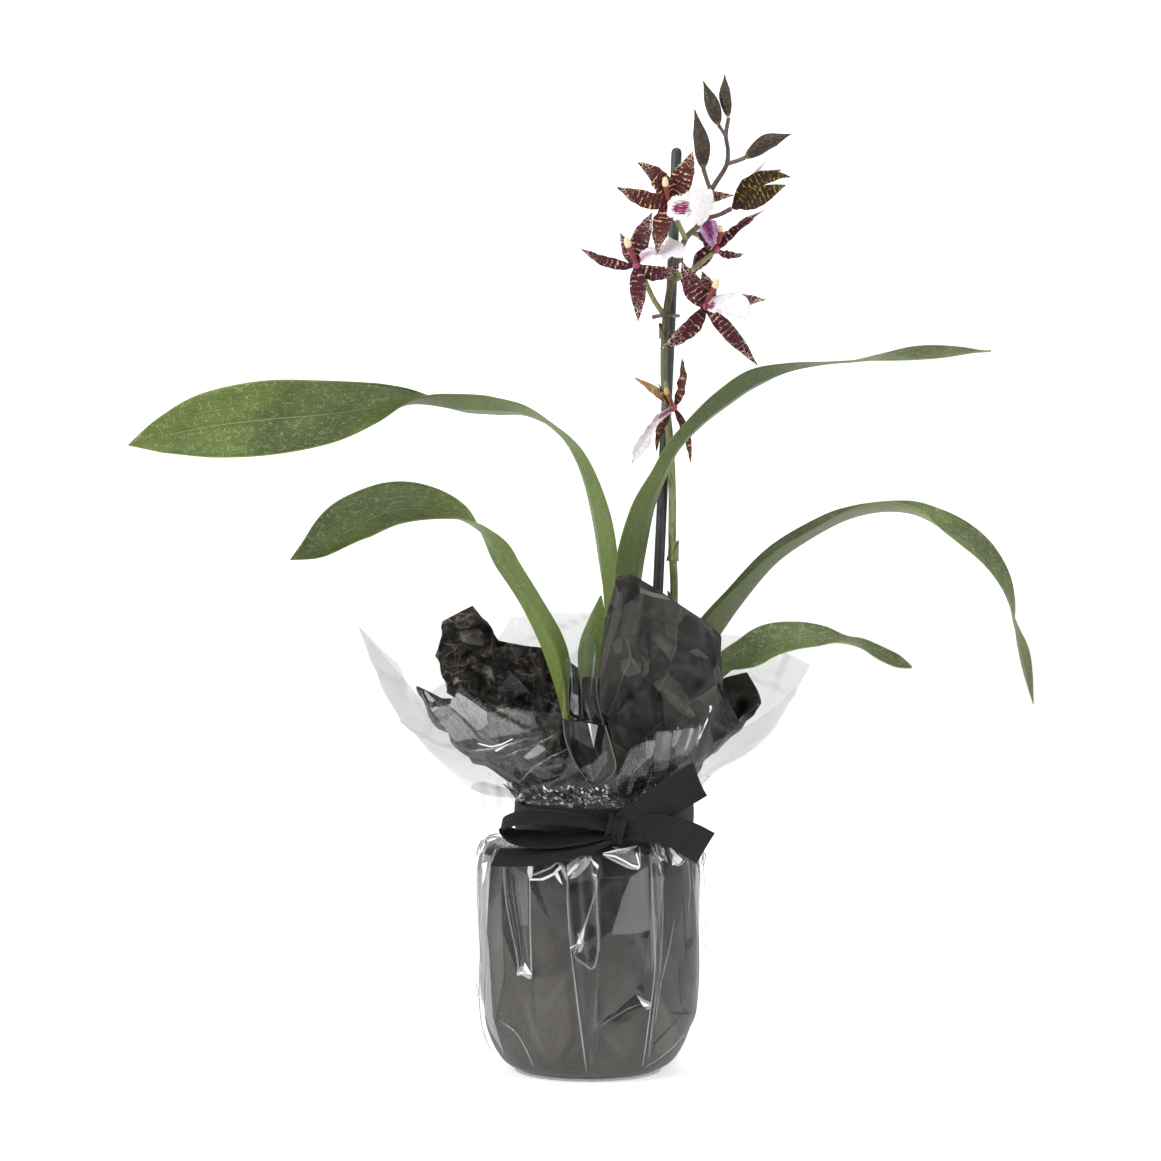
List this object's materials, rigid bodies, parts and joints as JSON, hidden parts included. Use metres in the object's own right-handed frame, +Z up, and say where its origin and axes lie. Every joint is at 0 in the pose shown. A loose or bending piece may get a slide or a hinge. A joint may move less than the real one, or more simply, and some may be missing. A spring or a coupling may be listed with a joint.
{
  "type": "potted orchid",
  "caption": "Gift-wrapped potted orchid with arching strap leaves and one staked spray of small dark-and-white flowers, tied at the pot's neck with a black bow.",
  "frame": {"origin": "centre of the wrapped pot's flat base, on the surface it stands on", "axes": "+Z up along the pot's axis, +X across the leaves to the right, -Y toward the side with the bow"},
  "size_m": [0.5312, 0.1694, 0.5676],
  "materials": {
    "film": "clear, glossy, crinkled",
    "tissue": "black tissue paper, creased, faint sheen",
    "pot": "black moulded plastic",
    "bark": "rough bark chips",
    "bulb": "smooth green plant tissue",
    "leaf": "leathery green leaf with fine veins",
    "stem": "green-beige flower stem",
    "stake": "slate grey plastic rod",
    "clip": "dark plastic",
    "bud": "olive-brown, satin",
    "opening_bud": "yellow-green with maroon blotches",
    "tepal": "dark maroon with cream bars and spots",
    "column": "orange-red with a cream cap",
    "lip": "white with a magenta patch at the base",
    "ribbon": "black grosgrain"
  },
  "bodies": {
    "root": {"film_wrap": "film", "tissue_wrap": "tissue", "grow_pot": "pot", "bark_mix": "bark", "pseudobulbs": "bulb", "stake": "stake", "leaf_upper_left": "leaf", "leaf_mid_left": "leaf", "leaf_upper_right": "leaf", "leaf_mid_right": "leaf", "leaf_short_right": "leaf", "leaf_sheath": "leaf", "flower_stem": "stem", "stem_clip": "clip", "bud_top": "bud", "bud_second": "bud", "bud_left": "bud", "bud_right": "bud", "bud_opening": "opening_bud", "flower_a_tepals": "tepal", "flower_a_column": "column", "flower_a_lip": "lip", "flower_b_tepals": "tepal", "flower_b_column": "column", "flower_b_lip": "lip", "flower_c_tepals": "tepal", "flower_c_column": "column", "flower_c_lip": "lip", "flower_d_tepals": "tepal", "flower_d_column": "column", "flower_d_lip": "lip", "flower_e_tepals": "tepal", "flower_e_column": "column", "flower_e_lip": "lip", "ribbon_band": "ribbon", "ribbon_bow": "ribbon"}
  },
  "joints": []
}
